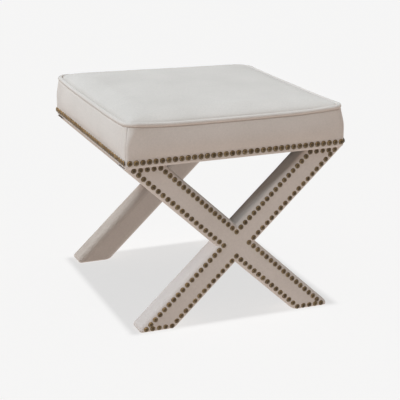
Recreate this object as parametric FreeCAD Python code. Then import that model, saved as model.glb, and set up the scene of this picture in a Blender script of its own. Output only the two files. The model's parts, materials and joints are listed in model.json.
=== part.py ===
import FreeCAD, Part
import math
import os

# Upholstered footstool on two crossed-leg frames.
# Millimetres, Z up. The origin is on the floor under the middle of the seat, the front faces -Y.

# Seat outside
seat_width = 508.0
seat_depth = 533.0
seat_corner_radius = 10.0
underside_height = 373.0
boxing_height = 84.0
bottom_edge_bevel = 4.0
hem_width = 14.0
panel_edge_rise = 5.6
shoulder_width = 25.0
shoulder_rise = 9.0
crown_height = 6.0

# Cloth, wadding and piping
cover_thickness = 1.5
seat_padding = 6.0
# Wadding over the foam, at its edge; the crown adds to it
batting_thickness = 6.0
welt_diameter = 8.6
welt_sides = 12
welt_overhang = 1.0

# Wooden seat box
rail_thickness = 16.0
rail_height = 48.0
deck_thickness = 12.0
leg_board_width = 75.0
leg_board_thickness = 18.0

# Crossed legs: the outer top corners line up with the seat's sides, less a margin
crossing_height = 177.0
leg_width = 61.0
leg_thickness = 51.0
leg_edge_radius = 9.0
leg_setback = 8.0
toe_cut = 9.0
leg_top_margin = 0.0
leg_padding = 5.0

# Decorative nails
nail_head_diameter = 11.0
nail_flat_diameter = 5.6
nail_head_height = 2.8
nail_head_sides = 6
nail_pitch = 14.4
seat_nail_height = 12.5
leg_nail_inset = 10.2
end_nail_inset = 5.8
panel_margin = 1.0

# Bolts, screws and glides
bolt_diameter = 8.0
bolt_flange_diameter = 17.0
bolt_flange_thickness = 1.6
bolt_head_across_flats = 13.0
bolt_head_height = 5.3
bolt_depth = 28.0
bolt_tool_room = 2.0
bolt_first_offset = 2.0
bolt_spacing = 22.0
lap_screw_diameter = 5.0
lap_screw_head_diameter = 10.0
lap_screw_head_height = 2.8
lap_screw_tip_cover = 5.0
lap_screw_spacing = 26.0
glide_diameter = 24.0
glide_sides = 24
glide_thickness = 2.0
glide_pin_diameter = 4.0
glide_pin_length = 12.0

# Small shanks, pins and their holes have this many flat sides
fastener_sides = 8

clearance = 0.3
least_radius = 1.0
overcut = 10.0

# Places that several pieces share
half_width = seat_width / 2
half_depth = seat_depth / 2
frame_inset = cover_thickness + seat_padding
rail_bottom = underside_height + cover_thickness
inner_bevel = bottom_edge_bevel - cover_thickness * (2 - math.sqrt(2))
padding_bottom = rail_bottom + inner_bevel
deck_bottom = rail_bottom + rail_height
deck_top = deck_bottom + deck_thickness
boxing_top = underside_height + boxing_height
panel_inset = welt_diameter - welt_overhang + clearance
panel_top = boxing_top + panel_edge_rise
cushion_top = panel_top + shoulder_rise + crown_height
rail_inner_x = half_width - frame_inset - rail_thickness
rail_inner_y = half_depth - frame_inset - rail_thickness
board_top = rail_bottom + leg_board_thickness

# Lean of the legs, from the crossing up to the seat's sides
rise_to_seat = underside_height - crossing_height
reach_to_side = half_width - leg_top_margin
leg_angle = math.atan2(rise_to_seat, reach_to_side)
leg_angle += math.asin(leg_width / 2 / math.hypot(rise_to_seat, reach_to_side))
leg_length = 2 * (underside_height + seat_width)
core_inset = cover_thickness + leg_padding
core_width = leg_width - 2 * core_inset
core_thickness = leg_thickness - 2 * core_inset
leg_middle_y = half_depth - leg_setback - leg_thickness / 2
foot_bottom = glide_thickness
core_bottom = foot_bottom + cover_thickness
core_top = rail_bottom
nail_row_spacing = leg_width - 2 * leg_nail_inset
panel_width = nail_row_spacing + 2 * panel_margin


def vec(x, y, z):
    return FreeCAD.Vector(x, y, z)


def block(x0, x1, y0, y1, z0, z1):
    return Part.makeBox(x1 - x0, y1 - y0, z1 - z0, vec(x0, y0, z0))


def polygon_ring(diameter, sides, height):
    """Corner points of a level polygon round the Z axis, closed."""
    points = []
    for step in range(sides + 1):
        turn = 2 * math.pi * step / sides
        points.append(vec(diameter / 2 * math.cos(turn), diameter / 2 * math.sin(turn), height))
    return points


def rod(diameter, start, direction, length, sides=fastener_sides):
    """Straight rod with flat sides, for shanks, pins and their holes."""
    face = Part.Face(Part.makePolygon(polygon_ring(diameter, sides, 0)))
    solid = face.extrude(vec(0, 0, length))
    solid.Placement = FreeCAD.Placement(start, FreeCAD.Rotation(vec(0, 0, 1), direction))
    return solid


def upright_rod(diameter, x, y, z0, z1, sides=fastener_sides):
    return rod(diameter, vec(x, y, z0), vec(0, 0, 1), z1 - z0, sides)


def edges_along(solid, axis):
    """Straight edges of a solid that run along an axis."""
    return [edge for edge in solid.Edges if abs(edge.tangentAt(edge.FirstParameter).dot(axis)) > 0.99]


def rounded_plan(inset, bottom, top):
    """Block with the seat's rounded outline, drawn in by an inset."""
    x = half_width - inset
    y = half_depth - inset
    solid = block(-x, x, -y, y, bottom, top)
    radius = max(seat_corner_radius - inset, least_radius)
    return solid.makeFillet(radius, edges_along(solid, vec(0, 0, 1)))


def bevel_bottom_edge(solid, size):
    bottom = solid.BoundBox.ZMin
    edges = [edge for edge in solid.Edges if edge.BoundBox.ZMax < bottom + clearance]
    return solid.makeChamfer(size, edges)


def crown_body(edge_height, bottom, reach):
    """Large body under the crowned surface that passes the panel's edge at edge_height."""
    x_half = half_width - panel_inset
    y_half = half_depth - panel_inset
    x_end = x_half + reach
    y_end = y_half + reach
    sections = []
    for y in (-y_end, 0, y_end):
        rise = crown_height * (1 - (y / y_half) ** 2)
        side = edge_height + rise * (1 - (x_end / x_half) ** 2)
        low_left, low_right = vec(-x_end, y, bottom), vec(x_end, y, bottom)
        top_left, top_right = vec(-x_end, y, side), vec(x_end, y, side)
        top_arc = Part.Arc(top_right, vec(0, y, edge_height + rise), top_left)
        outline = [
            Part.LineSegment(low_left, low_right).toShape(),
            Part.LineSegment(low_right, top_right).toShape(),
            top_arc.toShape(),
            Part.LineSegment(top_left, low_left).toShape(),
        ]
        sections.append(Part.Wire(outline))
    return Part.makeLoft(sections, True, False)


def shoulder_body(edge_height, bottom, reach):
    """Large hipped body whose sides lean in from the panel's edge at edge_height."""
    slope = shoulder_rise / shoulder_width
    inner = min(half_width, half_depth) / 2
    outlines = []
    for inset, height in ((-reach, bottom), (-reach, edge_height - slope * reach), (inner, edge_height + slope * inner)):
        x = half_width - panel_inset - inset
        y = half_depth - panel_inset - inset
        corners = [vec(-x, -y, height), vec(x, -y, height), vec(x, y, height), vec(-x, y, height)]
        outlines.append(Part.makePolygon(corners + corners[:1]))
    return Part.makeLoft(outlines, True, True)


def cushion_form(edge_height, bottom, reach):
    """Crowned body with sloping shoulders above the panel's edge."""
    crown = crown_body(edge_height + shoulder_rise, bottom, reach)
    return crown.common(shoulder_body(edge_height, bottom, reach))


def crowned_sheet(edge_height, thickness):
    """Sheet of even thickness under the crowned surface."""
    floor = edge_height - thickness - crown_height
    upper = cushion_form(edge_height, floor - overcut, overcut)
    lower = cushion_form(edge_height - thickness, floor - 2 * overcut, 2 * overcut)
    sheet = upper.cut(lower)
    return sheet.common(rounded_plan(panel_inset, floor, cushion_top + overcut))


def crowned_pad(edge_height, bottom):
    """Pad with a flat base and the crowned surface on top."""
    body = cushion_form(edge_height, bottom - overcut, overcut)
    return body.common(rounded_plan(panel_inset, bottom, cushion_top + overcut))


def seat_frame():
    frame_plan = rounded_plan(frame_inset, rail_bottom, deck_top)
    outer_x = half_width - frame_inset
    outer_y = half_depth - frame_inset
    front = block(-outer_x, outer_x, -outer_y, -rail_inner_y, rail_bottom, deck_bottom)
    rear = block(-outer_x, outer_x, rail_inner_y, outer_y, rail_bottom, deck_bottom)
    parts["front_rail"] = front.common(frame_plan)
    parts["rear_rail"] = rear.common(frame_plan)
    parts["left_rail"] = block(-outer_x, -rail_inner_x, -rail_inner_y, rail_inner_y, rail_bottom, deck_bottom)
    parts["right_rail"] = block(rail_inner_x, outer_x, -rail_inner_y, rail_inner_y, rail_bottom, deck_bottom)
    parts["seat_deck"] = rounded_plan(frame_inset, deck_bottom, deck_top)
    for name, facing in frames:
        wall = facing * rail_inner_y
        inner = facing * (rail_inner_y - leg_board_width)
        y0, y1 = min(wall, inner), max(wall, inner)
        board = block(-rail_inner_x, rail_inner_x, y0, y1, rail_bottom, board_top)
        for x, y in bolt_places(facing):
            board = board.cut(upright_rod(bolt_diameter + 2 * clearance, x, y, rail_bottom, board_top))
        parts[name + "_leg_board"] = board


def seat_cushion():
    batting_edge = panel_top - cover_thickness
    foam_top = batting_edge - batting_thickness
    parts["seat_foam"] = rounded_plan(panel_inset, deck_top, foam_top)
    parts["seat_batting"] = crowned_pad(batting_edge, foam_top)
    parts["seat_top_cover"] = crowned_sheet(panel_top, cover_thickness)
    wadding = rounded_plan(cover_thickness, padding_bottom, boxing_top)
    parts["rail_padding"] = wadding.cut(rounded_plan(frame_inset, rail_bottom, boxing_top + overcut))


def seat_piping():
    """Piping that lies on the boxing's top edge, all round the panel."""
    inset = welt_diameter / 2 - welt_overhang
    run_x = half_width - seat_corner_radius
    run_y = half_depth - seat_corner_radius
    height = boxing_top + clearance + welt_diameter / 2
    up = vec(0, 0, 1)
    ring = Part.makePolygon(polygon_ring(welt_diameter, welt_sides, 0))
    section = Part.Face(ring).rotated(vec(0, 0, 0), vec(1, 0, 0), 90)
    section.translate(vec(seat_corner_radius - inset, 0, height))
    pieces = []
    turns = ((1, 1, vec(-2 * run_x, 0, 0)), (-1, 1, vec(0, -2 * run_y, 0)),
             (-1, -1, vec(2 * run_x, 0, 0)), (1, -1, vec(0, 2 * run_y, 0)))
    for step, (side_x, side_y, run) in enumerate(turns):
        centre = vec(side_x * run_x, side_y * run_y, 0)
        start = section.rotated(vec(0, 0, 0), up, 90 * step).translated(centre)
        pieces.append(start.revolve(centre, up, 90))
        pieces.append(start.rotated(centre, up, 90).extrude(run))
    parts["seat_welt"] = pieces[0].fuse(pieces[1:]).removeSplitter()


def corner_to_corner(side_x, side_y):
    """Wedge of space behind one side of the seat, cut at 45 degrees through the corners."""
    depth = hem_width + overcut
    if side_y:
        outer, inner = side_y * (half_depth + overcut), side_y * (half_depth - depth)
        near, far = half_width + overcut, half_width - depth
        plan = [(-near, outer), (near, outer), (far, inner), (-far, inner)]
    else:
        outer, inner = side_x * (half_width + overcut), side_x * (half_width - depth)
        near, far = half_depth + overcut, half_depth - depth
        plan = [(outer, -near), (outer, near), (inner, far), (inner, -far)]
    points = [vec(x, y, underside_height - overcut) for x, y in plan]
    face = Part.Face(Part.makePolygon(points + points[:1]))
    return face.extrude(vec(0, 0, boxing_height + 2 * overcut))


def seat_boxing():
    outside = bevel_bottom_edge(rounded_plan(0, underside_height, boxing_top), bottom_edge_bevel)
    inside = bevel_bottom_edge(rounded_plan(cover_thickness, rail_bottom, boxing_top + overcut), inner_bevel)
    opening_x = half_width - hem_width
    opening_y = half_depth - hem_width
    opening = block(-opening_x, opening_x, -opening_y, opening_y, underside_height - overcut, boxing_top)
    skin = outside.cut(inside).cut(opening)
    for name, side_x, side_y in seat_sides:
        parts[name + "_boxing"] = skin.common(corner_to_corner(side_x, side_y))
    dust_x = opening_x - clearance
    dust_y = opening_y - clearance
    dust = block(-dust_x, dust_x, -dust_y, dust_y, underside_height, rail_bottom)
    for name, facing in frames:
        for lean in (-1, 1):
            core = leg_bar(lean, core_width, core_thickness, facing * leg_middle_y, underside_height, core_top)
            room = core.BoundBox
            dust = dust.cut(block(
                room.XMin - clearance, room.XMax + clearance,
                room.YMin - clearance, room.YMax + clearance,
                underside_height, rail_bottom))
    parts["dust_cover"] = dust


def leg_bar(lean, width, thickness, middle_y, bottom, top, edge_radius=0, edge_bevel=0):
    """Straight leg through the crossing, level at both ends, with a blunt toe. A lean of 1 rises to +X."""
    bar = block(-leg_length / 2, leg_length / 2, -thickness / 2, thickness / 2, -width / 2, width / 2)
    if edge_radius > 0:
        bar = bar.makeFillet(edge_radius, edges_along(bar, vec(1, 0, 0)))
    if edge_bevel > 0:
        bar = bar.makeChamfer(edge_bevel, edges_along(bar, vec(1, 0, 0)))
    bar.rotate(vec(0, 0, 0), vec(0, 1, 0), -lean * math.degrees(leg_angle))
    bar.translate(vec(0, middle_y, crossing_height))
    reach = leg_length / 2
    bar = bar.common(block(-reach, reach, middle_y - thickness, middle_y + thickness, bottom, top))
    toe_x = foot_x() + leg_width / 2 / math.sin(leg_angle) - toe_cut - (leg_width - width) / 2
    beyond = block(toe_x, reach, middle_y - thickness, middle_y + thickness, 0, crossing_height)
    return bar.cut([beyond, beyond.mirror(vec(0, 0, 0), vec(1, 0, 0))])


def crossed_bars(*sizes, **edges):
    return leg_bar(1, *sizes, **edges).fuse(leg_bar(-1, *sizes, **edges)).removeSplitter()


def leg_top_x():
    return rise_to_seat / math.tan(leg_angle)


def foot_x():
    return (crossing_height - foot_bottom) / math.tan(leg_angle)


def bolt_places(facing):
    """Two bolts into each leg top, clear of the rail in front of them."""
    y = facing * (rail_inner_y - bolt_flange_diameter / 2 - bolt_tool_room)
    places = []
    for side in (-1, 1):
        for index in range(2):
            x = leg_top_x() - bolt_first_offset - index * bolt_spacing
            places.append((side * x, y))
    return places


def lap_screw_places():
    return [(0, crossing_height + offset) for offset in (-lap_screw_spacing / 2, lap_screw_spacing / 2)]


def lap_screw(x, z, middle_y, facing, room):
    """Flat-headed screw driven from the inner face, with room added all round for its hole."""
    inner_face = vec(x, middle_y - facing * core_thickness / 2, z)
    outward = vec(0, facing, 0)
    length = core_thickness - lap_screw_tip_cover
    shank = rod(lap_screw_diameter + 2 * room, inner_face, outward, length + room)
    head = rod(lap_screw_head_diameter + 2 * room, inner_face, outward, lap_screw_head_height + room)
    return shank.fuse(head).removeSplitter()


def leg_cores(name, facing, middle_y):
    """Two cores, half-lapped: the falling leg keeps the outer half, the rising leg the inner half."""
    falling = leg_bar(-1, core_width, core_thickness, middle_y, core_bottom, core_top)
    rising = leg_bar(1, core_width, core_thickness, middle_y, core_bottom, core_top)
    crossing = falling.common(rising)
    outer_end = middle_y + facing * core_thickness
    y0, y1 = min(middle_y, outer_end), max(middle_y, outer_end)
    outer_space = block(-seat_width, seat_width, y0, y1, 0, underside_height)
    falling = falling.cut(crossing.cut(outer_space))
    rising = rising.cut(crossing.common(outer_space))
    screws = []
    for x, z in lap_screw_places():
        hole = lap_screw(x, z, middle_y, facing, clearance)
        falling = falling.cut(hole)
        rising = rising.cut(hole)
        screws.append(lap_screw(x, z, middle_y, facing, 0))
    for x, y in bolt_places(facing):
        hole = upright_rod(bolt_diameter + 2 * clearance, x, y, core_top - bolt_depth - clearance, core_top)
        falling, rising = (falling.cut(hole), rising) if x < 0 else (falling, rising.cut(hole))
    for side in (-1, 1):
        hole = upright_rod(
            glide_pin_diameter + 2 * clearance, side * foot_x(), middle_y,
            core_bottom, core_bottom + glide_pin_length)
        falling, rising = (falling, rising.cut(hole)) if side < 0 else (falling.cut(hole), rising)
    parts[name + "_falling_leg"] = falling
    parts[name + "_rising_leg"] = rising
    return screws


def leg_covers(name, facing, middle_y):
    """A padded sleeve on each leg, then two face panels and four edge bands round both."""
    padded_size = (leg_width - 2 * cover_thickness, leg_thickness - 2 * cover_thickness, middle_y)
    ends = (foot_bottom, underside_height)
    padded_bevel = leg_edge_radius - cover_thickness
    cores = crossed_bars(core_width, core_thickness, middle_y, foot_bottom, core_top)
    falling_sleeve = leg_bar(-1, *padded_size, *ends, edge_bevel=padded_bevel)
    rising_sleeve = leg_bar(1, *padded_size, *ends, edge_bevel=padded_bevel).cut(falling_sleeve)
    parts[name + "_falling_padding"] = falling_sleeve.cut(cores)
    parts[name + "_rising_padding"] = rising_sleeve.cut(cores)
    outside = crossed_bars(leg_width, leg_thickness, middle_y, *ends, edge_radius=leg_edge_radius)
    bands = outside.cut(crossed_bars(*padded_size, *ends, edge_bevel=padded_bevel))
    for cover, face in (("_outer_cover", facing), ("_inner_cover", -facing)):
        face_y = middle_y + face * (leg_thickness - cover_thickness) / 2
        panel = crossed_bars(panel_width, cover_thickness, face_y, *ends)
        parts[name + cover] = panel
        bands = bands.cut(panel)
    for solid in bands.Solids:
        centre = solid.CenterOfMass
        across = abs(centre.x) > abs(centre.z - crossing_height)
        level = "right" if centre.x > 0 else "left"
        upright = "upper" if centre.z > crossing_height else "lower"
        parts[name + "_" + (level if across else upright) + "_band"] = solid


def foot_caps():
    """Cloth turned under each foot, inside the sleeve, with a hole for the glide's pin."""
    caps = []
    for name, facing in frames:
        middle_y = facing * leg_middle_y
        feet = crossed_bars(core_width, core_thickness, middle_y, foot_bottom, core_bottom)
        for side in (-1, 1):
            feet = feet.cut(upright_rod(
                glide_pin_diameter + 2 * clearance, side * foot_x(), middle_y, foot_bottom, core_bottom))
        caps += feet.Solids
    parts["foot_caps"] = Part.makeCompound(caps)


def nail_head(place, direction):
    """Faceted head of a domed nail, its base flat on the cloth."""
    rim = polygon_ring(nail_head_diameter, nail_head_sides, 0)
    flat = polygon_ring(nail_flat_diameter, nail_head_sides, nail_head_height)
    faces = [Part.Face(Part.makePolygon(rim)), Part.Face(Part.makePolygon(flat))]
    for index in range(nail_head_sides):
        side = [rim[index], rim[index + 1], flat[index + 1], flat[index], rim[index]]
        faces.append(Part.Face(Part.makePolygon(side)))
    head = Part.Solid(Part.Shell(faces))
    head.Placement = FreeCAD.Placement(place, FreeCAD.Rotation(vec(0, 0, 1), direction))
    return head


def evenly_between(start, end):
    """Points one nail pitch apart from start to end, without the end."""
    gaps = max(1, round((end - start).Length / nail_pitch))
    return [start + (end - start) * (step / gaps) for step in range(gaps)]


def seat_nails():
    height = underside_height + seat_nail_height
    for name, side_x, side_y in seat_sides:
        outward = vec(side_x, side_y, 0)
        along = vec(-side_y, side_x, 0)
        reach = half_depth if side_y else half_width
        span = (half_width if side_y else half_depth) - seat_corner_radius
        middle = outward * reach + vec(0, 0, height)
        start, end = middle - along * span, middle + along * span
        row = evenly_between(start, end) + [end]
        parts[name + "_seat_nails"] = Part.makeCompound([nail_head(place, outward) for place in row])


def leg_nails(name, facing):
    """Rows along the outline of the crossed legs, in from every edge."""
    face_y = facing * (leg_middle_y + leg_thickness / 2)
    offset = nail_row_spacing / 2
    top = underside_height - end_nail_inset
    bottom = foot_bottom + end_nail_inset

    def row_end(side, shift, height):
        """Where a row of the leg on that side meets a level line; shift is across the leg."""
        x = abs(height - crossing_height) / math.tan(leg_angle) + shift / math.sin(leg_angle)
        return vec(side * x, face_y, height)

    upper_notch = vec(0, face_y, crossing_height + offset / math.cos(leg_angle))
    lower_notch = vec(0, face_y, crossing_height - offset / math.cos(leg_angle))
    outline = []
    for side in (-1, 1):
        side_notch = vec(side * offset / math.sin(leg_angle), face_y, crossing_height)
        outline.append([
            upper_notch, row_end(side, -offset, top), row_end(side, offset, top), side_notch,
            row_end(side, offset, bottom), row_end(side, -offset, bottom), lower_notch])
    loop = outline[1] + outline[0][-2:0:-1]
    places = []
    for start, end in zip(loop, loop[1:] + loop[:1]):
        places += evenly_between(start, end)
    outward = vec(0, facing, 0)
    parts[name + "_leg_nails"] = Part.makeCompound([nail_head(place, outward) for place in places])


def leg_bolts():
    bolts = []
    flange_top = board_top + bolt_flange_thickness
    head_corners = bolt_head_across_flats / math.cos(math.pi / 6)
    for name, facing in frames:
        for x, y in bolt_places(facing):
            shank = upright_rod(bolt_diameter, x, y, core_top - bolt_depth, board_top)
            flange = upright_rod(bolt_flange_diameter, x, y, board_top, flange_top)
            head = upright_rod(head_corners, x, y, flange_top, flange_top + bolt_head_height, sides=6)
            bolts.append(shank.fuse([flange, head]).removeSplitter())
    parts["leg_bolts"] = Part.makeCompound(bolts)


def foot_glides():
    glides = []
    for name, facing in frames:
        for side in (-1, 1):
            x, y = side * foot_x(), facing * leg_middle_y
            pad = upright_rod(glide_diameter, x, y, 0, glide_thickness, sides=glide_sides)
            pin = upright_rod(glide_pin_diameter, x, y, glide_thickness, foot_bottom + glide_pin_length)
            glides.append(pad.fuse(pin).removeSplitter())
    parts["foot_glides"] = Part.makeCompound(glides)


frames = (("front", -1), ("rear", 1))
seat_sides = (("front", 0, -1), ("rear", 0, 1), ("left", -1, 0), ("right", 1, 0))
parts = {}

seat_frame()
seat_cushion()
seat_piping()
seat_boxing()
seat_nails()
lap_screws = []
for frame_name, frame_facing in frames:
    frame_middle = frame_facing * leg_middle_y
    lap_screws += leg_cores(frame_name, frame_facing, frame_middle)
    leg_covers(frame_name, frame_facing, frame_middle)
    leg_nails(frame_name, frame_facing)
parts["lap_screws"] = Part.makeCompound(lap_screws)
foot_caps()
leg_bolts()
foot_glides()

os.makedirs("parts", exist_ok=True)
for node, shape in parts.items():
    shape.exportStep("parts/" + node + ".step")
    print(node, len(shape.Solids), shape.isValid(), round(shape.Volume, 1))
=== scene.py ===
import json
import math

import bmesh
import bpy
import numpy as np
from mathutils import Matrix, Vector

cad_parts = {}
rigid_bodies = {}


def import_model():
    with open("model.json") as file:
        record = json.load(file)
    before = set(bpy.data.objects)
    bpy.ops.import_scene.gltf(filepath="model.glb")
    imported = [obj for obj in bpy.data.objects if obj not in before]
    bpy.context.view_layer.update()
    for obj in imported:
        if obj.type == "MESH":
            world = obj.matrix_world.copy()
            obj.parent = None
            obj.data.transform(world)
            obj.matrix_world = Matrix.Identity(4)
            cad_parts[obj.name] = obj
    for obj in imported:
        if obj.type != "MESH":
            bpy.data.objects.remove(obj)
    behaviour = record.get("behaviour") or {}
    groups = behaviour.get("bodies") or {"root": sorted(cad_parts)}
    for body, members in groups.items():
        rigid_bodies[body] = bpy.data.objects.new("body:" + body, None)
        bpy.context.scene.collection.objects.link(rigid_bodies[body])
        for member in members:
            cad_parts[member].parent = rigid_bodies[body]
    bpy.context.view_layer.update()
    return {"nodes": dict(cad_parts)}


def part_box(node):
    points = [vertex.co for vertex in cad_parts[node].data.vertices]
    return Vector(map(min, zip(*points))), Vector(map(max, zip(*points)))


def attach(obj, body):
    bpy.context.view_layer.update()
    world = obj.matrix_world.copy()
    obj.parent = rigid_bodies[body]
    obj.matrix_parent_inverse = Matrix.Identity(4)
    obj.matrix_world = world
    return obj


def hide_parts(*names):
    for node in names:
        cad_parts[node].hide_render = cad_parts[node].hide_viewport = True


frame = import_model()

nail_seed = 11
random_draws = np.random.default_rng(nail_seed)

# Sizes in metres, angles in degrees. The seat's own sizes come from the frame
half_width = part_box("right_boxing")[1].x
half_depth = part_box("rear_boxing")[1].y
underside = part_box("front_boxing")[0].z
boxing_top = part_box("front_boxing")[1].z
boxing_height = boxing_top - underside
glide_rise = 0.002
foot_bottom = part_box("foot_glides")[0].z + glide_rise

# Seat corners are tight at the nails and open out under the welt, and each edge sags between them.
# Starts, ends and lengths without a unit are shares of the boxing's height
corner_radius_low = 0.011
corner_radius_high = 0.03
corner_opening_start = 0.45
corner_opening_power = 1.5
corner_lift = {"front_left": 0.005, "front_right": 0.002, "rear_right": -0.007, "rear_left": 0.004}
edge_sag = {"front": 0.0053, "right": 0.002, "rear": 0.005, "left": 0.004}
edge_sag_power = 4
edge_sag_start = 0.25

# Boxing: rolled under at the bottom, bulging above the nails, leaning in to the welt
boxing_thickness = 0.0016
bottom_roll = 0.006
top_roll = 0.004
top_turn_in = 0.002
roll_steps = 6
hem_width = 0.0135
hem_fold = 0.009
lining_middle = 0.03
nail_line = 0.0125
nail_zone = 0.009
nail_zone_rows = 10
upper_rows = 22
boxing_bulge = 0.0045
bulge_start = 0.25
bulge_rise_power = 0.7
bulge_end_power = 6
top_lean = 0.0015
top_lean_power = 2.5
corner_crease_depth = 0.0002
corner_crease_columns = 1.3
crease_start = -0.1
crease_start_length = 0.2
crease_end = 0.92
crease_end_length = 0.3
boxing_unevenness = 0.00035
boxing_uneven_start = 0.2
boxing_uneven_length = 0.2
nail_pucker_depth = 0.0007
nail_pucker_radius = 0.0042

# Welt, sitting a share of its radius above the boxing's edge, its cover cut on the bias
welt_radius = 0.0051
welt_overhang = 0.001
welt_seat = 0.68
welt_unevenness = 0.03
welt_segments = 16
bias_cut = 0.707

# Top panel, inside the welt
panel_gap = 0.0003
panel_inset = 2 * welt_radius - welt_overhang + panel_gap + top_lean
panel_shoulder_width = 0.05
panel_base_lift = 0.0015
panel_shoulder_rise = 0.0184
panel_shoulder_power = 2.2
panel_sag_power = 7
panel_crown = 0.003
panel_unevenness = 0.0006
panel_edge_lines = (0.0, 0.0003, 0.0008, 0.0016, 0.0026, 0.004, 0.0058, 0.008, 0.0108, 0.014, 0.018)
panel_line_pitch = 0.006
cushion_depth = 0.012

# Cloth simulation of the top panel
held_width = 0.003
air_pressure = 0.4
stretch_stiffness = 25
bend_stiffness = 2
swell_frames = 15
swell_limit = 0.0015

# Crossed legs
crossing_height = 0.177
leg_width = 0.061
leg_thickness = 0.051
leg_edge_radius = 0.0095
inner_edge_radius = 0.0105
leg_setback = 0.008
leg_padding = 0.0065
panel_half_width = 0.0205
inner_half_width = 0.0195
cloth_thickness = 0.0012
tip_radius = 0.005
heel_radius = 0.014
foot_edge_radius = 0.0035
leg_unevenness = 0.00025
seam_step = 0.0005
leg_rows = 96
leg_bend_steps = 7
leg_face_steps = 21
leg_side_steps = 9
foot_edge_steps = 5
leg_middle_y = half_depth - leg_setback - leg_thickness / 2
rise_to_seat = underside - crossing_height
leg_angle = math.atan2(rise_to_seat, half_width)
leg_angle += math.asin(leg_width / 2 / math.hypot(rise_to_seat, half_width))

# Dust cover, cut round the leg tops
dust_cut_clearance = 0.0005
dust_lift = 0.0008
dust_hang = 0.004
dust_unevenness = 0.0005
dust_inner_lines = 18
dust_cut_lines = 6

# Nails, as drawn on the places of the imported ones. The profile runs from the rim to the crown
# in shares of the radius and of the height
nail_radius = 0.0061
nail_height = 0.0029
nail_segments = 14
nail_profile = ((1.0, -0.06), (1.02, 0.1), (0.98, 0.24), (0.86, 0.52), (0.64, 0.8), (0.36, 0.95), (0.12, 1.0))
nail_crown = 1.01
nail_rim_top = 0.2
nail_lean_spread = 0.03
nail_size_spread = 0.015
nail_dent_spread = 0.035
near_vertical = 0.9

# Mesh helpers
weld_distance = 1e-5
tiny = 1e-9
ripple_waves = 6
ripple_stretch = (0.7, 1.5)


def add_object(name, data):
    """New object in the scene."""
    made = bpy.data.objects.new(name, data)
    bpy.context.scene.collection.objects.link(made)
    return made


def edit_mesh(mesh, change):
    """Opens a mesh for editing, lets a function change it and writes it back."""
    work = bmesh.new()
    work.from_mesh(mesh)
    result = change(work)
    work.to_mesh(mesh)
    work.free()
    return result


def shade_smooth(mesh, sharp_angle):
    """Smooth shading, except across edges sharper than the angle."""
    mesh.polygons.foreach_set("use_smooth", [True] * len(mesh.polygons))
    mesh.set_sharp_from_angle(angle=math.radians(sharp_angle))


class Patchwork:
    """Grids of points collected into one mesh, with a map of the cloth in metres."""

    def __init__(self):
        self.points = []
        self.cloth = []
        self.faces = []

    def grid(self, points, cloth, flip=False):
        rows, columns = points.shape[:2]
        first = len(self.points)
        self.points += points.reshape(-1, 3).tolist()
        self.cloth += cloth.reshape(-1, 2).tolist()
        for row in range(rows - 1):
            for column in range(columns - 1):
                a = first + row * columns + column
                face = (a, a + 1, a + 1 + columns, a + columns)
                self.faces.append(face[::-1] if flip else face)

    def build(self, name, sharp_angle):
        mesh = bpy.data.meshes.new(name)
        mesh.from_pydata(self.points, [], self.faces)
        uv = mesh.uv_layers.new(name="cloth")
        loop_points = np.zeros(len(mesh.loops), dtype=np.int32)
        mesh.loops.foreach_get("vertex_index", loop_points)
        uv.data.foreach_set("uv", np.array(self.cloth, dtype=np.float32)[loop_points].ravel())
        edit_mesh(mesh, lambda work: bmesh.ops.remove_doubles(work, verts=work.verts, dist=weld_distance))
        shade_smooth(mesh, sharp_angle)
        return add_object(name, mesh)


def finish_piece(piece, material, slot, *nodes):
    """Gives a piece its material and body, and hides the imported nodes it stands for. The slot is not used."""
    piece.data.materials.clear()
    piece.data.materials.append(material)
    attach(piece, "root")
    if nodes:
        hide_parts(*nodes)


def ease(value):
    """Smooth step from 0 to 1."""
    value = np.clip(value, 0, 1)
    return value * value * (3 - 2 * value)


def lengths_along(points):
    """Distance of each point from the first, measured along the line of points."""
    steps = np.linalg.norm(np.diff(points, axis=0), axis=1)
    return np.concatenate(([0], np.cumsum(steps)))


def ripple(points, wavelength, seed):
    """Slow seeded unevenness between -1 and 1, for hand-stretched cloth."""
    draws = np.random.default_rng(seed)
    total = np.zeros(points.shape[:-1])
    for _ in range(ripple_waves):
        direction = draws.normal(size=3)
        direction /= np.linalg.norm(direction)
        phase = draws.uniform(0, 2 * math.pi)
        stretch = draws.uniform(*ripple_stretch)
        total += np.sin(points @ direction * 2 * math.pi / wavelength * stretch + phase)
    return total / ripple_waves


def nail_places(node):
    """Base centre and outward direction of each packed nail head."""
    mesh = frame["nodes"][node].data
    points = np.zeros(len(mesh.vertices) * 3, dtype=np.float32)
    mesh.vertices.foreach_get("co", points)
    faces_per_nail = 20
    count = len(mesh.polygons) // faces_per_nail
    heads = points.reshape(count, -1, 3).astype(float)
    rim_corners = 6
    bases = heads[:, :rim_corners].mean(axis=1)
    outward = heads.mean(axis=1) - bases
    return bases, outward / np.linalg.norm(outward, axis=1, keepdims=True)


def pucker(points, nails):
    """How far the cloth is drawn in at each point by the nails near it, from 0 to 1."""
    drawn = np.zeros(points.shape[:-1])
    for place in nails:
        distance = np.linalg.norm(points - place, axis=-1)
        drawn += np.exp(-0.5 * (distance / nail_pucker_radius) ** 2)
    return np.minimum(drawn, 1)


# Seat outline
side_columns = 190
corner_columns = 12
columns_per_side = side_columns + 1 + corner_columns
least_corner_radius = 0.0006
side_names = ("front", "right", "rear", "left")
corner_names = ("front_left", "front_right", "rear_right", "rear_left")


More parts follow.
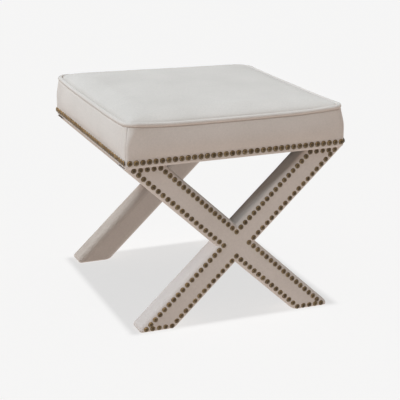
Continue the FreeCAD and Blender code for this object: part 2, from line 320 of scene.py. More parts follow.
def seat_outline(radius, inset=0.0):
    """Points, outward directions and place along the side, anticlockwise from the front-left corner's middle."""
    places, outward, along = [], [], []
    half_x = half_width - inset
    half_y = half_depth - inset
    radius = max(radius - inset, least_corner_radius)
    corners = ((1, -1), (1, 1), (-1, 1), (-1, -1))
    for side in range(len(side_names)):
        start = np.array(corners[side - 1]) * (half_x, half_y)
        end = np.array(corners[side]) * (half_x, half_y)
        run = (end - start) / np.linalg.norm(end - start)
        normal = np.array((run[1], -run[0]))
        first = start + run * radius
        last = end - run * radius
        turn = np.linspace(0, math.pi / 4, corner_columns // 2 + 1)
        for angle in turn[::-1][:-1]:
            direction = normal * math.cos(angle) - run * math.sin(angle)
            places.append(first - normal * radius + direction * radius)
            outward.append(direction)
            along.append(-1)
        for step in np.linspace(0, 1, side_columns + 1):
            places.append(first + (last - first) * step)
            outward.append(normal)
            along.append(2 * step - 1)
        for angle in turn[1:]:
            direction = normal * math.cos(angle) + run * math.sin(angle)
            places.append(last - normal * radius + direction * radius)
            outward.append(direction)
            along.append(1)
    return np.array(places), np.array(outward), np.array(along)


def top_edge(along):
    """Height of the boxing's top edge round the seat."""
    lifts = [corner_lift[name] for name in corner_names]
    sag = np.repeat([edge_sag[name] for name in side_names], columns_per_side)
    start = np.repeat(lifts, columns_per_side)
    end = np.repeat(lifts[1:] + lifts[:1], columns_per_side)
    return boxing_top + start + (end - start) * (along + 1) / 2 - sag * (1 - along ** edge_sag_power)


# Seat cover
def boxing_rows():
    """Inset and height of each row round the boxing's section, and how many of them lie on its outside."""
    quarter = np.linspace(0, math.pi / 2, roll_steps)
    nail_zone_top = nail_line + nail_zone
    heights = np.concatenate((
        np.linspace(bottom_roll, nail_zone_top, nail_zone_rows)[1:],
        np.linspace(nail_zone_top, boxing_height - top_roll, upper_rows)[1:]))
    rows = [(hem_width, 0.0), (hem_fold, 0.0)]
    for angle in quarter:
        rows.append((bottom_roll * (1 - math.sin(angle)), bottom_roll * (1 - math.cos(angle))))
    for height in heights[:-1]:
        rows.append((0.0, height))
    for angle in quarter:
        rows.append((top_roll * (1 - math.cos(angle)), boxing_height - top_roll * (1 - math.sin(angle))))
    outer_rows = len(rows)
    lining_top = boxing_height - boxing_thickness
    lining_roll = top_roll - boxing_thickness
    rows.append((top_roll + top_turn_in, lining_top))
    for angle in quarter[::-1]:
        inset = boxing_thickness + lining_roll * (1 - math.cos(angle))
        rows.append((inset, lining_top - lining_roll * (1 - math.sin(angle))))
    rows.append((boxing_thickness, lining_middle))
    rows.append((boxing_thickness, bottom_roll))
    rows.append((bottom_roll, boxing_thickness))
    rows.append((hem_width, boxing_thickness))
    rows.append(rows[0])
    return rows, outer_rows


def boxing_row(inset, height):
    """Points of one row round the seat, bulged between the corners and lowered with the sagging edge."""
    share = height / boxing_height
    opening = ease((share - corner_opening_start) / (1 - corner_opening_start)) ** corner_opening_power
    radius = corner_radius_low + (corner_radius_high - corner_radius_low) * opening
    places, outward, along = seat_outline(radius, inset)
    sag = (boxing_top - top_edge(along)) * ease((share - edge_sag_start) / (1 - edge_sag_start))
    upper = min(1, max(0, (share - bulge_start) / (1 - bulge_start)))
    bulge = boxing_bulge * math.sin(math.pi * upper ** bulge_rise_power) * (1 - along ** bulge_end_power)
    flat = places + outward * (bulge - top_lean * upper ** top_lean_power)[:, None]
    return np.column_stack((flat, underside + height - sag))


def boxing_panels(cloth):
    """Closed shell round the seat box, in four panels that meet at the corners."""
    rows, outer_rows = boxing_rows()
    surface = np.array([boxing_row(inset, height) for inset, height in rows])
    places, outward, along = seat_outline(corner_radius_low)
    direction = np.column_stack((outward, np.zeros(len(outward))))
    nails = np.concatenate([nail_places(side + "_seat_nails")[0] for side in side_names])
    drawn = pucker(surface, nails) * nail_pucker_depth
    side_column = np.arange(len(along)) % columns_per_side
    from_corner = np.minimum(side_column, columns_per_side - 1 - side_column)
    crease = corner_crease_depth * np.exp(-(from_corner / corner_crease_columns) ** 2)
    share = (surface[..., 2] - underside) / boxing_height
    crease = crease * ease((share - crease_start) / crease_start_length)
    crease = crease * ease((crease_end - share) / crease_end_length)
    uneven = boxing_unevenness * ripple(surface, wavelength=0.09, seed=3)
    uneven = uneven * ease((share - boxing_uneven_start) / boxing_uneven_length)
    moved = surface - direction * (drawn + crease - uneven)[..., None]
    surface[:outer_rows] = moved[:outer_rows]
    run = lengths_along(places)
    girth = lengths_along(rows)
    for side, name in enumerate(side_names):
        columns = np.arange(side * columns_per_side, (side + 1) * columns_per_side)
        cloth_map = np.stack(np.broadcast_arrays(run[columns][None, :], girth[:, None]), axis=-1)
        patch = Patchwork()
        patch.grid(surface[:, columns], cloth_map)
        piece = patch.build(name + "_boxing_cloth", sharp_angle=60)
        edit_mesh(piece.data, lambda work: bmesh.ops.holes_fill(work, edges=work.edges))
        nodes = [name + "_boxing"] + (["rail_padding"] if name == "front" else [])
        finish_piece(piece, cloth, "cover_fabric", *nodes)


def welt_cord(cloth):
    """Piping on the boxing's top edge."""
    centre, outward, along = seat_outline(corner_radius_high, welt_radius - welt_overhang + top_lean)
    height = top_edge(along) + welt_radius * welt_seat
    turn = np.linspace(0, 2 * math.pi, welt_segments + 1)
    ring = []
    for angle in turn:
        flat = centre + outward * welt_radius * math.cos(angle)
        ring.append(np.column_stack((flat, height + welt_radius * math.sin(angle))))
    surface = np.array(ring)
    surface = np.concatenate((surface, surface[:, :1]), axis=1)
    middle = np.column_stack((centre, height))
    middle = np.concatenate((middle, middle[:1]))
    plumpness = 1 + welt_unevenness * ripple(surface, wavelength=0.018, seed=5)
    surface = middle + (surface - middle) * plumpness[..., None]
    run = lengths_along(middle)
    girth = turn[:, None] * welt_radius
    cloth_map = np.stack(((run + girth) * bias_cut, (run - girth) * bias_cut), axis=-1)
    patch = Patchwork()
    patch.grid(surface, cloth_map, flip=True)
    piece = patch.build("seat_welt_cord", sharp_angle=80)
    finish_piece(piece, cloth, "cover_fabric", "seat_welt")


def panel_lines(half):
    """Grid lines across the panel, closer near its edges."""
    edge_width = panel_edge_lines[-1]
    inner = np.linspace(edge_width, half, int((half - edge_width) / panel_line_pitch))[1:]
    lines = half - np.concatenate((panel_edge_lines, inner))
    return np.concatenate((-lines[:-1], lines[::-1]))


def round_corners(x, y, half_x, half_y, radius):
    """The grid with its square corners drawn in to round ones."""
    out_x = np.clip((np.abs(x) - (half_x - radius)) / radius, 0, 1)
    out_y = np.clip((np.abs(y) - (half_y - radius)) / radius, 0, 1)
    round_x = np.sign(x) * (half_x - radius + radius * out_x * np.sqrt(1 - out_y ** 2 / 2))
    round_y = np.sign(y) * (half_y - radius + radius * out_y * np.sqrt(1 - out_x ** 2 / 2))
    near_corner = (out_x > 0) & (out_y > 0)
    return np.where(near_corner, round_x, x), np.where(near_corner, round_y, y)


def panel_base(x, y, half_x, half_y):
    """Height of the panel without its crown: lifted at the corners and sagging along the edges."""
    right = (x / half_x + 1) / 2
    back = (y / half_y + 1) / 2
    front_lift = corner_lift["front_left"] * (1 - right) + corner_lift["front_right"] * right
    rear_lift = corner_lift["rear_left"] * (1 - right) + corner_lift["rear_right"] * right
    lift = front_lift * (1 - back) + rear_lift * back
    share_x = np.abs(x) / half_x
    share_y = np.abs(y) / half_y
    sag_y = np.where(y < 0, edge_sag["front"], edge_sag["rear"])
    sag_x = np.where(x < 0, edge_sag["left"], edge_sag["right"])
    sag = sag_y * share_y ** panel_sag_power * (1 - share_x ** edge_sag_power)
    sag = sag + sag_x * share_x ** panel_sag_power * (1 - share_y ** edge_sag_power)
    return boxing_top + panel_base_lift + lift - sag


def seat_cushion(cloth):
    """Crowned top panel over its foam, blown up a little as a cloth and closed underneath."""
    half_x = half_width - panel_inset
    half_y = half_depth - panel_inset
    x, y = np.meshgrid(panel_lines(half_x), panel_lines(half_y))
    cloth_map = np.stack((x, y), axis=-1)
    from_side = half_x - np.abs(x)
    from_front = half_y - np.abs(y)
    edge = np.minimum(from_side, from_front)
    slope = from_side * from_front / np.maximum(np.hypot(from_side, from_front), tiny)
    x, y = round_corners(x, y, half_x, half_y, corner_radius_high - panel_inset)
    from_top = np.clip(1 - slope / panel_shoulder_width, 0, 1)
    shoulder = panel_shoulder_rise * np.sqrt(1 - from_top ** panel_shoulder_power)
    crown = panel_crown * (1 - (x / half_x) ** 2) * (1 - (y / half_y) ** 2)
    uneven = panel_unevenness * ripple(np.stack((x, y, 0 * x), axis=-1), wavelength=0.3, seed=21)
    uneven = uneven * np.clip(edge / panel_shoulder_width, 0, 1)
    z = panel_base(x, y, half_x, half_y) + shoulder + crown + uneven
    surface = np.stack((x, y, z), axis=-1)
    patch = Patchwork()
    patch.grid(surface, cloth_map)
    piece = patch.build("seat_cushion", sharp_angle=60)
    swell(piece, edge.ravel(), surface)
    close_underneath(piece, boxing_top - cushion_depth)
    finish_piece(piece, cloth, "cover_fabric", "seat_top_cover", "seat_batting", "seat_foam")


def swell(piece, edge, start):
    """Short cloth simulation with air under the panel, its edge held by the welt."""
    held = piece.vertex_groups.new(name="held")
    held.add([int(index) for index in np.nonzero(edge < held_width)[0]], 1.0, "REPLACE")
    modifier = piece.modifiers.new("cloth", "CLOTH")
    settings = modifier.settings
    settings.vertex_group_mass = "held"
    settings.use_pressure = True
    settings.uniform_pressure_force = air_pressure
    settings.tension_stiffness = stretch_stiffness
    settings.compression_stiffness = stretch_stiffness
    settings.bending_stiffness = bend_stiffness
    settings.effector_weights.gravity = 0
    scene = bpy.context.scene
    for step in range(1, swell_frames + 1):
        scene.frame_set(step)
    graph = bpy.context.evaluated_depsgraph_get()
    settled = piece.evaluated_get(graph).data
    points = np.zeros(len(settled.vertices) * 3, dtype=np.float32)
    settled.vertices.foreach_get("co", points)
    piece.modifiers.remove(modifier)
    scene.frame_set(1)
    before = start.reshape(-1, 3)
    moved = points.reshape(-1, 3) - before
    length = np.linalg.norm(moved, axis=1, keepdims=True)
    moved *= np.minimum(1, swell_limit / np.maximum(length, tiny))
    piece.data.vertices.foreach_set("co", (before + moved).astype(np.float32).ravel())
    piece.data.update()


def close_underneath(piece, base):
    """Takes the panel's rim straight down and closes it with a flat bottom."""
    def close(work):
        rim = [edge for edge in work.edges if edge.is_boundary]
        for item in bmesh.ops.extrude_edge_only(work, edges=rim)["geom"]:
            if isinstance(item, bmesh.types.BMVert):
                item.co.z = base
        loop = [edge for edge in work.edges if edge.is_boundary]
        bmesh.ops.contextual_create(work, geom=loop)
        bmesh.ops.recalc_face_normals(work, faces=work.faces)

    edit_mesh(piece.data, close)


def dust_lines(end, cuts):
    """Grid lines across the dust cover, with lines on both sides of the cuts."""
    inner = np.linspace(0, cuts[0], dust_inner_lines)
    outer = np.concatenate((np.linspace(cuts[0], min(cuts[1], end), dust_cut_lines)[1:], [end]))
    positive = np.unique(np.round(np.concatenate((inner, outer)), decimals=6))
    return np.concatenate((-positive[:0:-1], positive))


def dust_sheet(cloth):
    """Thin cloth under the seat, cut round the leg tops and hanging a little."""
    low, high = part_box("dust_cover")
    core_x = (leg_width - 2 * leg_padding) / 2 / math.sin(leg_angle) + dust_cut_clearance
    core_y = (leg_thickness - 2 * leg_padding) / 2 + dust_cut_clearance
    top_x = rise_to_seat / math.tan(leg_angle)
    cuts_x = (top_x - core_x, top_x + core_x)
    cuts_y = (leg_middle_y - core_y, leg_middle_y + core_y)
    x, y = np.meshgrid(dust_lines(high.x, cuts_x), dust_lines(high.y, cuts_y))
    middle = (1 - (x / high.x) ** 2) * (1 - (y / high.y) ** 2)
    uneven = dust_unevenness * ripple(np.stack((x, y, 0 * x), axis=-1), wavelength=0.12, seed=9)
    z = low.z + dust_lift - dust_hang * middle + uneven * middle
    patch = Patchwork()
    patch.grid(np.stack((x, y, z), axis=-1), np.stack((x, y), axis=-1), flip=True)
    piece = patch.build("dust_sheet", sharp_angle=60)

    def cut(work):
        inside = []
        for face in work.faces:
            centre = face.calc_center_median()
            if cuts_x[0] < abs(centre.x) < cuts_x[1] and cuts_y[0] < abs(centre.y) < cuts_y[1]:
                inside.append(face)
        bmesh.ops.delete(work, geom=inside, context="FACES")
        return sum(face.calc_area() for face in work.faces)

    area = edit_mesh(piece.data, cut)
    finish_piece(piece, cloth, "dust_cloth", "dust_cover")


# Leg covers
def leg_section():
    """Rounded section of a leg: offsets across and through it, outward directions and the cloth of each point."""
    across = leg_width / 2
    through = leg_thickness / 2
    bend = np.linspace(0, math.pi / 2, leg_bend_steps)
    face = np.linspace(-1, 1, leg_face_steps)
    side = np.linspace(-(through - leg_edge_radius), through - inner_edge_radius, leg_side_steps)
    band = []
    for angle in bend:
        band.append((across - leg_edge_radius + leg_edge_radius * math.sin(angle),
                     -through + leg_edge_radius - leg_edge_radius * math.cos(angle),
                     math.sin(angle), -math.cos(angle)))
    for w in side[1:-1]:
        band.append((across, w, 1, 0))
    for angle in bend:
        band.append((across - inner_edge_radius + inner_edge_radius * math.cos(angle),
                     through - inner_edge_radius + inner_edge_radius * math.sin(angle),
                     math.cos(angle), math.sin(angle)))
    section = [(v * panel_half_width, -through, 0, -1, "outer") for v in face]
    section += [(*entry, "inside_band") for entry in band]
    section += [(-v * inner_half_width, through, 0, 1, "inner") for v in face]
    section += [(-v, w, -nv, nw, "outside_band") for v, w, nv, nw in band[::-1]]
    return section


def leg_end(v, rise, is_foot):
    """Distance along the leg from the crossing to its cut end, with a rounded tip and heel on a foot."""
    sine = math.sin(leg_angle)
    cosine = math.cos(leg_angle)
    end = (rise - v * cosine) / sine
    if not is_foot:
        return end
    across = leg_width / 2
    from_tip = v + across
    tip_middle = (rise - tip_radius - (tip_radius - across) * cosine) / sine
    tip = tip_middle + np.sqrt(np.maximum(tip_radius ** 2 - (from_tip - tip_radius) ** 2, 0))
    end = np.where(from_tip < tip_radius * (1 + cosine), tip, end)
    from_heel = across - v
    heel_middle = (rise - heel_radius - (across - heel_radius) * cosine) / sine
    heel = heel_middle + np.sqrt(np.maximum(heel_radius ** 2 - (from_heel - heel_radius) ** 2, 0))
    return np.where(from_heel < heel_radius * (1 - cosine), heel, end)


def leg_arm(section, rise, is_foot):
    """Surface of one arm, rising to the right of the crossing, with rows along it and columns round it."""
    v, w, nv, nw = (np.array([entry[index] for entry in section]) for index in range(4))
    start = np.maximum(v * math.tan(leg_angle), -v / math.tan(leg_angle))
    finish = leg_end(v, rise, is_foot)
    edge = foot_edge_radius if is_foot else 0
    share = np.linspace(0, 1, leg_rows)
    along = [start + (finish - edge - start) * step for step in share]
    across = [v for _ in share]
    through = [w for _ in share]
    if is_foot:
        for angle in np.linspace(0, math.pi / 2, foot_edge_steps)[1:]:
            inset = edge * (1 - math.cos(angle))
            across.append(v - inset * nv)
            through.append(w - inset * nw)
            along.append(leg_end(across[-1], rise, True) - edge * (1 - math.sin(angle)))
    along = np.array(along)
    across = np.array(across)
    x = along * math.cos(leg_angle) - across * math.sin(leg_angle)
    z = along * math.sin(leg_angle) + across * math.cos(leg_angle)
    directions = np.stack((-nv * math.sin(leg_angle), nw, nv * math.cos(leg_angle)), axis=-1)
    girth = lengths_along(np.column_stack((v, w)))
    cloth_map = np.stack((along, np.broadcast_to(girth, along.shape)), axis=-1)
    return np.stack((x, np.array(through), z), axis=-1), directions, cloth_map


def section_columns(section):
    """Columns of the leg's section in each of its four cloths."""
    groups = {}
    for column, entry in enumerate(section):
        groups.setdefault(entry[-1], []).append(column)
    return groups


def patch_name(part, side, upright):
    """The cloth piece that a part of one arm belongs to."""
    if part == "inside_band":
        return "upper" if upright > 0 else "lower"
    if part == "outside_band":
        return "right" if side > 0 else "left"
    return part


def foot_cap(rim, groups):
    """Two rows of points across the bottom of a foot, near and far."""
    band = groups["inside_band"]
    far_band = groups["outside_band"]
    half_band = len(band) // 2
    near_row = far_band[-half_band:] + groups["outer"] + band[:half_band]
    far_row = far_band[:half_band][::-1] + groups["inner"][::-1] + band[::-1][:half_band]
    return np.stack((rim[near_row], rim[far_row]))


def crossed_leg_covers(name, facing, cloth, caps):
    """Face panels and edge bands round one pair of crossed legs, and its share of the foot caps."""
    section = leg_section()
    groups = section_columns(section)
    spans = {
        "outer": groups["outer"],
        "inside_band": [groups["outer"][-1]] + groups["inside_band"] + [groups["inner"][0]],
        "inner": groups["inner"],
        "outside_band": [groups["inner"][-1]] + groups["outside_band"] + [groups["outer"][0]],
    }
    replaced = {
        "outer": ["outer_cover", "falling_padding"], "inner": ["inner_cover", "rising_padding"],
        "upper": ["upper_band"], "lower": ["lower_band"], "left": ["left_band"], "right": ["right_band"],
    }
    patches = {key: Patchwork() for key in replaced}
    nails, _ = nail_places(name + "_leg_nails")
    place = np.array((0, facing * leg_middle_y, crossing_height))
    for side in (-1, 1):
        for upright in (-1, 1):
            is_foot = upright < 0
            rise = crossing_height - foot_bottom if is_foot else rise_to_seat
            surface, directions, cloth_map = leg_arm(section, rise, is_foot)
            signs = np.array((side, -facing, upright))
            surface = surface * signs + place
            directions = np.broadcast_to(directions * signs, surface.shape)
            drawn = pucker(surface, nails) * nail_pucker_depth
            uneven = leg_unevenness * ripple(surface, wavelength=0.06, seed=17)
            surface = surface + directions * (uneven - drawn)[..., None]
            flip = side * upright * facing > 0
            for part, columns in spans.items():
                part_map = cloth_map[:, columns].copy()
                if part == "outside_band":
                    part_map[:, -1, 1] = part_map[:, -2, 1] + seam_step
                patches[patch_name(part, side, upright)].grid(surface[:, columns], part_map, flip)
            if is_foot:
                cap = foot_cap(surface[-1], groups)
                caps.grid(cap, cap[..., :2], not flip)
    for key, nodes in replaced.items():
        piece = patches[key].build(name + "_" + nodes[0] + "_cloth", sharp_angle=50)
        finish_piece(piece, cloth, "cover_fabric", *[name + "_" + node for node in nodes])
        thickness = piece.modifiers.new("thickness", "SOLIDIFY")
        thickness.thickness = cloth_thickness
        thickness.offset = -1


# Nails
def nail_faces(first):
    """Faces of one nail head whose points start at this index."""
    faces = []
    for ring in range(len(nail_profile) - 1):
        for index in range(nail_segments):
            a = first + ring * nail_segments + index
            b = first + ring * nail_segments + (index + 1) % nail_segments
            faces.append((a, b, b + nail_segments, a + nail_segments))
    top = first + (len(nail_profile) - 1) * nail_segments
    for index in range(nail_segments):
        faces.append((top + index, top + (index + 1) % nail_segments, top + nail_segments))
    faces.append(tuple(first + index for index in range(nail_segments))[::-1])
    return faces


def nail_heads(node, material):
    """Domed heads with a rolled rim, each a little different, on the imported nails' places."""
    places, outward = nail_places(node)
    turn = np.linspace(0, 2 * math.pi, nail_segments, endpoint=False)
    points, faces, tone, rise = [], [], [], []
    for place, direction in zip(places, outward):
        lean = direction + random_draws.normal(scale=nail_lean_spread, size=3)
        lean /= np.linalg.norm(lean)
        helper = np.array((0, 0, 1.0)) if abs(lean[2]) < near_vertical else np.array((1.0, 0, 0))
        right = np.cross(helper, lean)
        right /= np.linalg.norm(right)
        up = np.cross(lean, right)
        size = nail_radius * random_draws.normal(1, nail_size_spread)
        spin = random_draws.uniform(0, 2 * math.pi)
        shade = random_draws.uniform()
        faces += nail_faces(len(points))
        for share, height in nail_profile:
            dents = random_draws.normal(scale=nail_dent_spread, size=nail_segments) * (height > nail_rim_top)
            for dent, angle in zip(dents, turn + spin):
                spot = right * math.cos(angle) + up * math.sin(angle)
                points.append(place + spot * size * share + lean * nail_height * (height + dent))
                tone.append(shade)
                rise.append(max(0.0, height))
        points.append(place + lean * nail_height * nail_crown)
        tone.append(shade)
        rise.append(1.0)
    mesh = bpy.data.meshes.new(node + "_domed")
    mesh.from_pydata([tuple(point) for point in points], [], faces)
    for attribute_name, values in (("nail_tone", tone), ("nail_rise", rise)):
        attribute = mesh.attributes.new(attribute_name, "FLOAT", "POINT")
        attribute.data.foreach_set("value", np.array(values, dtype=np.float32))
    shade_smooth(mesh, sharp_angle=65)
    finish_piece(add_object(node + "_domed", mesh), material, "nail_bronze", node)


# Materials
class Shader:
    """Node material with short ways to add and link nodes."""

    def __init__(self, name):
        self.material = bpy.data.materials.new(name)
        self.material.use_nodes = True
        self.tree = self.material.node_tree
        self.base = self.tree.nodes["Principled BSDF"]

    def set(self, socket, value):
        if isinstance(value, bpy.types.NodeSocket):
            self.tree.links.new(value, socket)
        else:
            socket.default_value = value

    def node(self, kind, inputs=None, **settings):
        made = self.tree.nodes.new(kind)
        for key, value in settings.items():
            setattr(made, key, value)
        for key, value in (inputs or {}).items():
            self.set(made.inputs[key], value)
        return made

    def noise(self, vector, scale, detail, roughness=0.5):
        return self.node("ShaderNodeTexNoise", {
            "Vector": vector, "Scale": scale, "Detail": detail, "Roughness": roughness}).outputs["Fac"]

    def math(self, operation, first, second):
        return self.node("ShaderNodeMath", {0: first, 1: second}, operation=operation).outputs[0]

    def weighted_sum(self, first, second, first_weight, second_weight):
        return self.math("ADD", self.math("MULTIPLY", first, first_weight),
                         self.math("MULTIPLY", second, second_weight))

    def ramp(self, value, *stops):
        """Colour ramp through stops, each a position and a colour or a grey."""
        made = self.node("ShaderNodeValToRGB", {"Fac": value})
        while len(made.color_ramp.elements) < len(stops):
            made.color_ramp.elements.new(0.5)
        for element, (position, colour) in zip(made.color_ramp.elements, stops):
            rgb = colour if isinstance(colour, tuple) else (colour, colour, colour)
            element.position = position
            element.color = (*rgb, 1)
        return made.outputs["Color"]

    def mix(self, share, first, second):
        share_input, first_input, second_input, result_output = 0, 6, 7, 2
        made = self.node("ShaderNodeMix", {share_input: share, first_input: first, second_input: second},
                         data_type="RGBA")
        return made.outputs[result_output]

    def place(self):
        return self.node("ShaderNodeTexCoord").outputs["Object"]

    def attribute(self, name):
        return self.node("ShaderNodeAttribute", attribute_name=name).outputs["Fac"]

    def bump(self, height, strength, distance):
        made = self.node("ShaderNodeBump", {"Height": height, "Strength": strength, "Distance": distance})
        self.set(self.base.inputs["Normal"], made.outputs["Normal"])

    def feed(self, **inputs):
        """Sets or links inputs of the surface by their names in small letters."""
        for key, value in inputs.items():
            self.set(self.base.inputs[key.replace("_", " ").title().replace("Ior", "IOR")], value)


thread_pitch = 0.00085
wave_texture_rate = 20
weave_strength = 0.35
slub_share = 0.6
roughness_spread = 0.1


def woven(name, dark, light, sheen):
    """Fine plain weave with slubs, a little mottled, laid out on the piece's cloth map."""
    shader = Shader(name)
    cloth_map = shader.node("ShaderNodeUVMap", uv_map="cloth").outputs["UV"]
    wave_scale = 2 * math.pi / wave_texture_rate / thread_pitch
    threads = []
    for direction in ("X", "Y"):
        wave = shader.node("ShaderNodeTexWave", {
            "Vector": cloth_map, "Scale": wave_scale, "Distortion": 0.6, "Detail": 1.0, "Detail Scale": 0.2},
            bands_direction=direction)
        threads.append(wave.outputs["Fac"])
    weave = shader.math("MULTIPLY", threads[0], threads[1])
    slubs = shader.noise(cloth_map, scale=900.0, detail=2.0)
    height = shader.math("ADD", weave, shader.math("MULTIPLY", slubs, slub_share))
    shader.bump(height, strength=weave_strength, distance=0.0004)
    place = shader.place()
    broad = shader.noise(place, scale=9.0, detail=4.0)
    grain = shader.noise(place, scale=260.0, detail=2.0)
    tone = shader.weighted_sum(broad, grain, first_weight=0.55, second_weight=0.45)
    shader.feed(
        base_color=shader.ramp(tone, (0.3, dark), (0.7, light)),
        roughness=shader.ramp(weave, (0.0, 0.95), (1.0, 0.82)),
        sheen_weight=sheen, sheen_roughness=0.5, specular_ior_level=0.15)
    return shader.material


def bronze():
    """Aged bronze: dark in the rim and hollows, with a lighter ring between the rim and a darker crown that is
    painted highlight, mixed with rubbed brass spots; each nail its own tone.
    """
    shader = Shader("aged_bronze")
    tone = shader.attribute("nail_tone")
    spots = shader.noise(shader.place(), scale=380.0, detail=4.0, roughness=0.6)
    # Painted highlight: a lighter ring between the rim and a darker crown, as light falls on a domed head
    ring = shader.ramp(shader.attribute("nail_rise"), (0.15, 0.0), (0.62, 1.0), (1.0, 0.15))
    rubbed_and_highlight = shader.weighted_sum(ring, spots, first_weight=0.4, second_weight=0.8)
    dark = shader.ramp(tone, (0.0, (0.055, 0.034, 0.016)), (1.0, (0.09, 0.058, 0.028)))
    light = shader.ramp(tone, (0.0, (0.27, 0.185, 0.095)), (1.0, (0.4, 0.285, 0.15)))
    # Brass shows where the rubbed spots and the painted highlight ring are strong
    wear_and_highlight = shader.ramp(rubbed_and_highlight, (0.5, 0.0), (0.9, 1.0))
    shader.bump(spots, strength=0.8, distance=0.0008)
    shader.feed(
        base_color=shader.mix(wear_and_highlight, dark, light),
        roughness=shader.ramp(spots, (0.3, 0.55), (0.7, 0.33)),
        metallic=0.5, specular_ior_level=0.5)
    return shader.material


def timber(name, dark, light, grain_scale):
    """Wood with its grain along the x axis."""
    shader = Shader(name)
    mapping = shader.node("ShaderNodeMapping", {"Vector": shader.place(), "Scale": (3.0, 40.0, 40.0)})
    grain = shader.noise(mapping.outputs["Vector"], scale=grain_scale, detail=6.0, roughness=0.6)
    shader.bump(grain, strength=0.2, distance=0.0005)
    shader.feed(base_color=shader.ramp(grain, (0.35, dark), (0.65, light)), roughness=0.7)
    return shader.material


def hard(name, dark, light, metallic, roughness):
    """Metal or plastic with faint marks."""
    shader = Shader(name)
    marks = shader.noise(shader.place(), scale=180.0, detail=4.0, roughness=0.6)
    shader.bump(marks, strength=0.1, distance=0.0003)
    shader.feed(
        base_color=shader.ramp(marks, (0.35, dark), (0.65, light)),
        roughness=shader.ramp(marks, (0.3, roughness + roughness_spread), (0.7, roughness - roughness_spread)),
        metallic=metallic)
    return shader.material


# Building
cover = woven("linen_cover", dark=(0.605, 0.498, 0.428), light=(0.695, 0.576, 0.5), sheen=0.12)
dust_cloth = woven("dust_cloth", dark=(0.012, 0.012, 0.013), light=(0.022, 0.022, 0.023), sheen=0.05)
nail_metal = bronze()
boxing_panels(cover)
welt_cord(cover)
seat_cushion(cover)
dust_sheet(dust_cloth)
cap_patch = Patchwork()
crossed_leg_covers("front", facing=-1, cloth=cover, caps=cap_patch)
crossed_leg_covers("rear", facing=1, cloth=cover, caps=cap_patch)
cap_piece = cap_patch.build("foot_cap_cloth", sharp_angle=50)
finish_piece(cap_piece, cover, "cover_fabric", "foot_caps")
for nail_node in sorted(node for node in frame["nodes"] if node.endswith("_nails")):
    nail_heads(nail_node, nail_metal)

wood = timber("beech", dark=(0.42, 0.27, 0.15), light=(0.56, 0.39, 0.23), grain_scale=2.0)
plywood = timber("plywood", dark=(0.5, 0.36, 0.2), light=(0.62, 0.47, 0.29), grain_scale=1.2)
steel = hard("zinc_steel", dark=(0.42, 0.43, 0.44), light=(0.6, 0.61, 0.62), metallic=0.9, roughness=0.35)
glide = hard("glide_plastic", dark=(0.025, 0.022, 0.02), light=(0.045, 0.04, 0.036), metallic=0.0, roughness=0.5)
other_materials = {"leg_bolts": steel, "lap_screws": steel, "foot_glides": glide, "seat_deck": plywood}
for node_name, node_object in frame["nodes"].items():
    node_object.data.materials.clear()
    node_object.data.materials.append(other_materials.get(node_name, wood))

# Floor
floor_reach = 20.0
floor_mesh = bpy.data.meshes.new("floor")
floor_corners = [(x * floor_reach, y * floor_reach, 0) for x, y in ((-1, -1), (1, -1), (1, 1), (-1, 1))]
floor_mesh.from_pydata(floor_corners, [], [(0, 1, 2, 3)])
floor = add_object("floor", floor_mesh)
floor_shader = Shader("pale_floor")
floor_shader.feed(
    base_color=(0.33, 0.33, 0.33, 1), emission_color=(0.66, 0.66, 0.66, 1), emission_strength=1.0,
    roughness=1.0, specular_ior_level=0.0)
floor_mesh.materials.append(floor_shader.material)

# Light
soft_sun = 40
narrow_sun = 3
key_direction = (-0.47, 0.02, 0.88)


def turned_to(direction):
    """Rotation of a light or camera whose back is turned to this direction."""
    return Vector(direction).to_track_quat("Z", "Y").to_euler()


def sun(name, toward, strength, colour, angle):
    """Sun lamp standing toward this direction, as wide as the angle."""
    data = bpy.data.lights.new(name, "SUN")
    data.energy = strength * math.pi
    data.color = colour
    data.angle = math.radians(angle)
    lamp = add_object(name, data)
    lamp.rotation_euler = turned_to(toward)
    return lamp


def link_pieces(lamp, use, link_state, pieces):
    """Lets a light fall on, or be blocked by, these pieces alone or all pieces but these."""
    group = bpy.data.collections.new(lamp.name + "_" + use)
    for piece in pieces:
        group.objects.link(piece)
    setattr(lamp.light_linking, use + "_collection", group)
    for entry in group.collection_objects:
        entry.light_linking.link_state = link_state


key = sun("key", toward=key_direction, strength=1.145, colour=(0.74, 0.935, 1.085), angle=soft_sun)
side_light = sun("side", toward=(0.85, 0.35, 0.4), strength=0.22, colour=(0.85, 0.95, 1.0), angle=soft_sun)
far_key = sun("far_key", toward=(-0.5, 0.3, 0.86), strength=0.7, colour=(0.79, 0.91, 0.99), angle=soft_sun)
nail_key = sun("nail_key", toward=(-0.5, 0.02, 0.86), strength=1.9, colour=(1.0, 0.88, 0.68), angle=soft_sun)
band_key = sun("band_key", toward=key_direction, strength=0.93, colour=(0.74, 0.9, 1.06), angle=soft_sun)
overhead = sun("overhead", toward=(-0.01, 0.0, 1.0), strength=0.58, colour=(1.0, 1.0, 1.0), angle=narrow_sun)
fill_data = bpy.data.lights.new("fill", "AREA")
fill_data.energy = 0.7
fill_data.size = 0.9
fill_data.color = (1.0, 0.97, 0.94)
fill = add_object("fill", fill_data)
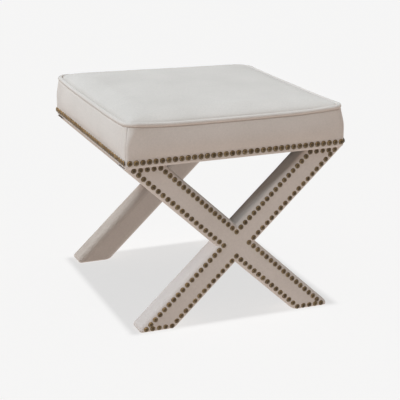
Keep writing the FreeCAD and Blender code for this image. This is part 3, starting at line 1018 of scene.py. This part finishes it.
fill.location = (0.1, -1.45, 1.0)
fill.rotation_euler = turned_to((0.0, -1.0, 0.5))

# The overhead sun only draws the frame's shadow on the floor. The rear legs, the nails and the near leg's
# left band have suns of their own, the last one without shadows
rear_pieces = [piece for piece in bpy.data.objects if piece.name.startswith("rear_")]
far_covers = [piece for piece in rear_pieces if piece.name.endswith(("_cover_cloth", "_band_cloth"))]
near_band = bpy.data.objects["front_left_band_cloth"]
nails = [piece for piece in bpy.data.objects if piece.name.endswith("_nails_domed")]
wooden = [node for name, node in frame["nodes"].items() if name.endswith(("_leg", "_rail", "_board", "_deck"))]
link_pieces(fill, "receiver", "EXCLUDE", [floor] + far_covers)
link_pieces(key, "receiver", "EXCLUDE", [floor, near_band] + far_covers + nails)
link_pieces(band_key, "receiver", "INCLUDE", [near_band])
link_pieces(band_key, "blocker", "INCLUDE", [floor])
link_pieces(nail_key, "receiver", "INCLUDE", nails)
link_pieces(side_light, "receiver", "EXCLUDE", [floor])
link_pieces(far_key, "receiver", "INCLUDE", far_covers)
link_pieces(overhead, "receiver", "INCLUDE", [floor])
link_pieces(overhead, "blocker", "INCLUDE", wooden)
world = bpy.data.worlds.new("studio")
world.use_nodes = True
world.node_tree.nodes["Background"].inputs["Color"].default_value = (0.203, 0.197, 0.19, 1)
bpy.context.scene.world = world
bpy.context.scene.view_settings.view_transform = "Standard"

# Camera, fitted to the photograph
image_width = 400
focal_pixels = 1263.2
camera_target = Vector((0.0166, 0.0, 0.1994))
camera_distance = 2.9821
camera_azimuth = math.radians(-21.55)
camera_elevation = math.radians(17.56)
camera_data = bpy.data.cameras.new("camera")
camera_data.sensor_width = 36.0
camera_data.lens = focal_pixels / image_width * camera_data.sensor_width
camera = add_object("camera", camera_data)
back = Vector((
    math.sin(camera_azimuth) * math.cos(camera_elevation),
    -math.cos(camera_azimuth) * math.cos(camera_elevation),
    math.sin(camera_elevation)))
camera.location = camera_target + back * camera_distance
camera.rotation_euler = turned_to(back)
bpy.context.scene.camera = camera
